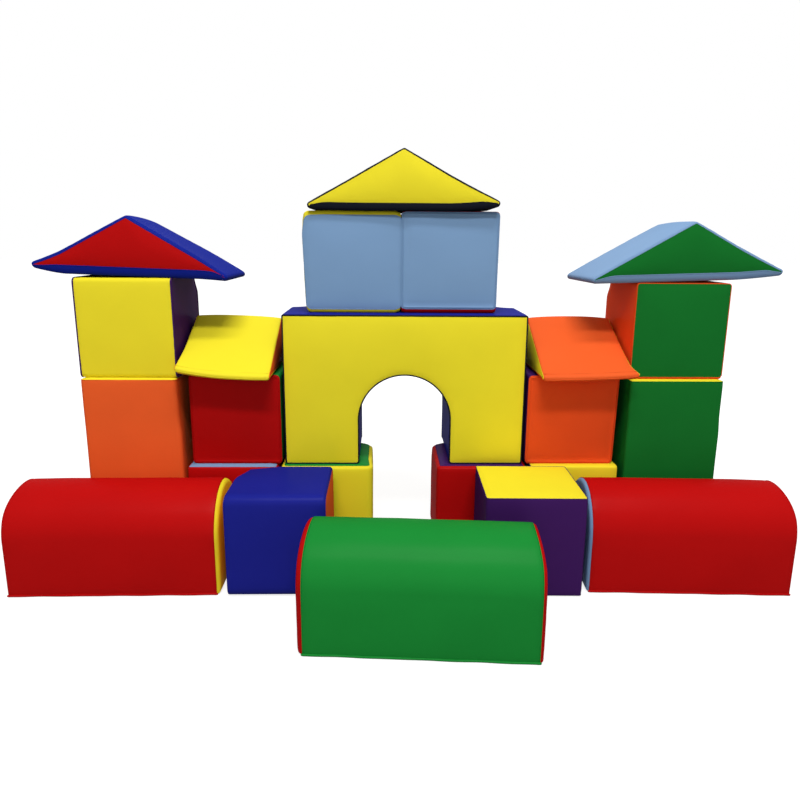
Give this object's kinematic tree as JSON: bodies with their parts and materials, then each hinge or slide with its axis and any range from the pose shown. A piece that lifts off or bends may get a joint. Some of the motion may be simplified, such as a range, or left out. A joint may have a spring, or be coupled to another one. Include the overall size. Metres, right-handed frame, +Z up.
{
  "type": "soft play building block set",
  "caption": "Giant foam building blocks in coloured vinyl covers, stacked as a toy castle with a gate arch, towers and gabled roofs.",
  "frame": {"origin": "on the floor, under the middle of the box round the whole castle", "axes": "+X across the front towards the viewer's right, +Y from the front to the back, +Z up"},
  "size_m": [2.3661, 1.1866, 1.3019],
  "materials": {
    "foam": "matte",
    "vinyl_red": "satin vinyl",
    "vinyl_green": "satin vinyl",
    "vinyl_yellow": "satin vinyl",
    "vinyl_orange": "satin vinyl",
    "vinyl_light_blue": "satin vinyl",
    "vinyl_blue": "satin vinyl",
    "vinyl_navy": "satin vinyl",
    "vinyl_purple": "satin vinyl"
  },
  "bodies": {
    "gate_left_base": {"gate_left_base_core": "foam", "gate_left_base_cover": "vinyl_yellow"},
    "gate_right_base": {"gate_right_base_core": "foam", "gate_right_base_cover": "vinyl_red"},
    "left_wall_base": {"left_wall_base_core": "foam", "left_wall_base_cover": "vinyl_red"},
    "right_wall_base": {"right_wall_base_core": "foam", "right_wall_base_cover": "vinyl_yellow"},
    "left_tower_column": {"left_tower_column_core": "foam", "left_tower_column_cover": "vinyl_orange"},
    "right_tower_column": {"right_tower_column_core": "foam", "right_tower_column_cover": "vinyl_green"},
    "left_wall_cube": {"left_wall_cube_core": "foam", "left_wall_cube_cover": "vinyl_green"},
    "right_wall_cube": {"right_wall_cube_core": "foam", "right_wall_cube_cover": "vinyl_purple"},
    "left_tower_top": {"left_tower_top_core": "foam", "left_tower_top_cover": "vinyl_yellow"},
    "right_tower_top": {"right_tower_top_core": "foam", "right_tower_top_cover": "vinyl_orange"},
    "arch": {"arch_core": "foam", "arch_cover": "vinyl_blue"},
    "keep_left_cube": {"keep_left_cube_core": "foam", "keep_left_cube_cover": "vinyl_yellow"},
    "keep_right_cube": {"keep_right_cube_core": "foam", "keep_right_cube_cover": "vinyl_red"},
    "left_lean_to": {"left_lean_to_core": "foam", "left_lean_to_cover": "vinyl_yellow"},
    "right_lean_to": {"right_lean_to_core": "foam", "right_lean_to_cover": "vinyl_orange"},
    "left_roof": {"left_roof_core": "foam", "left_roof_cover": "vinyl_blue"},
    "right_roof": {"right_roof_core": "foam", "right_roof_cover": "vinyl_light_blue"},
    "keep_roof": {"keep_roof_core": "foam", "keep_roof_cover": "vinyl_navy"},
    "front_left_cube": {"front_left_cube_core": "foam", "front_left_cube_cover": "vinyl_blue"},
    "front_right_cube": {"front_right_cube_core": "foam", "front_right_cube_cover": "vinyl_purple"},
    "left_half_round": {"left_half_round_core": "foam", "left_half_round_cover": "vinyl_red"},
    "right_half_round": {"right_half_round_core": "foam", "right_half_round_cover": "vinyl_red"},
    "front_half_round": {"front_half_round_core": "foam", "front_half_round_cover": "vinyl_green"}
  },
  "joints": [
    {"name": "arch_lift", "type": "slide", "parent": "gate_left_base", "child": "arch", "axis": [0, 0, 1], "range_m": [0, 0.2]},
    {"name": "keep_left_cube_lift", "type": "slide", "parent": "arch", "child": "keep_left_cube", "axis": [0, 0, 1], "range_m": [0, 0.15]},
    {"name": "keep_roof_lift", "type": "slide", "parent": "keep_left_cube", "child": "keep_roof", "axis": [0, 0, 1], "range_m": [0, 0.2]},
    {"name": "left_wall_base_lift", "type": "slide", "parent": "gate_left_base", "child": "left_wall_base", "axis": [0, 0, 1], "range_m": [0, 0.1]},
    {"name": "left_wall_cube_lift", "type": "slide", "parent": "left_wall_base", "child": "left_wall_cube", "axis": [0, 0, 1], "range_m": [0, 0.1]},
    {"name": "left_lean_to_lift", "type": "slide", "parent": "left_wall_cube", "child": "left_lean_to", "axis": [0, 0, 1], "range_m": [0, 0.1]},
    {"name": "left_tower_column_lift", "type": "slide", "parent": "gate_left_base", "child": "left_tower_column", "axis": [0, 0, 1], "range_m": [0, 0.1]},
    {"name": "left_tower_top_lift", "type": "slide", "parent": "left_tower_column", "child": "left_tower_top", "axis": [0, 0, 1], "range_m": [0, 0.1]},
    {"name": "left_roof_lift", "type": "slide", "parent": "left_tower_top", "child": "left_roof", "axis": [0, 0, 1], "range_m": [0, 0.2]},
    {"name": "left_half_round_lift", "type": "slide", "parent": "gate_left_base", "child": "left_half_round", "axis": [0, 0, 1], "range_m": [0, 0.25]},
    {"name": "front_left_cube_lift", "type": "slide", "parent": "gate_left_base", "child": "front_left_cube", "axis": [0, 0, 1], "range_m": [0, 0.25]},
    {"name": "right_wall_base_lift", "type": "slide", "parent": "gate_left_base", "child": "right_wall_base", "axis": [0, 0, 1], "range_m": [0, 0.1]},
    {"name": "right_wall_cube_lift", "type": "slide", "parent": "right_wall_base", "child": "right_wall_cube", "axis": [0, 0, 1], "range_m": [0, 0.1]},
    {"name": "right_lean_to_lift", "type": "slide", "parent": "right_wall_cube", "child": "right_lean_to", "axis": [0, 0, 1], "range_m": [0, 0.1]},
    {"name": "right_tower_column_lift", "type": "slide", "parent": "gate_left_base", "child": "right_tower_column", "axis": [0, 0, 1], "range_m": [0, 0.1]},
    {"name": "right_tower_top_lift", "type": "slide", "parent": "right_tower_column", "child": "right_tower_top", "axis": [0, 0, 1], "range_m": [0, 0.1]},
    {"name": "right_roof_lift", "type": "slide", "parent": "right_tower_top", "child": "right_roof", "axis": [0, 0, 1], "range_m": [0, 0.2]},
    {"name": "right_half_round_lift", "type": "slide", "parent": "gate_left_base", "child": "right_half_round", "axis": [0, 0, 1], "range_m": [0, 0.25]},
    {"name": "front_right_cube_lift", "type": "slide", "parent": "gate_left_base", "child": "front_right_cube", "axis": [0, 0, 1], "range_m": [0, 0.25]},
    {"name": "front_half_round_lift", "type": "slide", "parent": "gate_left_base", "child": "front_half_round", "axis": [0, 0, 1], "range_m": [0, 0.25]},
    {"name": "gate_right_base_slide", "type": "slide", "parent": "gate_left_base", "child": "gate_right_base", "axis": [0, 1, 0], "range_m": [0, 0.15]},
    {"name": "keep_right_cube_slide", "type": "slide", "parent": "arch", "child": "keep_right_cube", "axis": [1, 0, 0], "range_m": [0, 0.1]}
  ]
}
